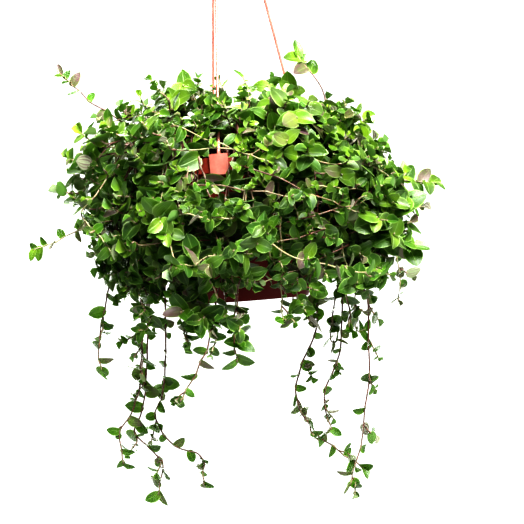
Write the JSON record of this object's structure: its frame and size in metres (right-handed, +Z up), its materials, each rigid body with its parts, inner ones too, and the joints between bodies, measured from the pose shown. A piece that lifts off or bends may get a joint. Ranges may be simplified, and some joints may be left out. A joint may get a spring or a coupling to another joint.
{
  "type": "turtle vine in a hanging pot",
  "caption": "Small-leaved trailing plant with a dense leafy head and long hanging stems, growing in a round tapered pot that hangs by thin strands from a hook.",
  "frame": {"origin": "the point of the hook that bears on the rail it hangs from", "axes": "+Z up along the hang, front faces -Y, +X to the right of the front view"},
  "size_m": [0.3495, 0.2776, 0.617],
  "materials": {
    "pot_plastic": "satin terracotta red moulded plastic",
    "hanger_plastic": "satin salmon red moulded plastic",
    "soil": "dark crumbly potting soil",
    "foliage": "glossy fleshy green leaves on purplish stems"
  },
  "bodies": {
    "root": {"draped_stem_1": "foliage", "draped_stem_2": "foliage", "draped_stem_3": "foliage", "draped_stem_4": "foliage", "draped_stem_5": "foliage", "draped_stem_6": "foliage", "hanger_hook": "hanger_plastic", "hanger_strand_back_left": "hanger_plastic", "hanger_strand_back_right": "hanger_plastic", "hanger_strand_front": "hanger_plastic", "pot": "pot_plastic", "soil": "soil", "trail_centre": "foliage", "trail_centre_short": "foliage", "trail_far_left": "foliage", "trail_left_inner": "foliage", "trail_left_long": "foliage", "trail_left_lowest": "foliage", "trail_right_long": "foliage", "trail_right_lowest": "foliage", "trail_right_short": "foliage", "vine_head": "foliage"}
  },
  "joints": []
}
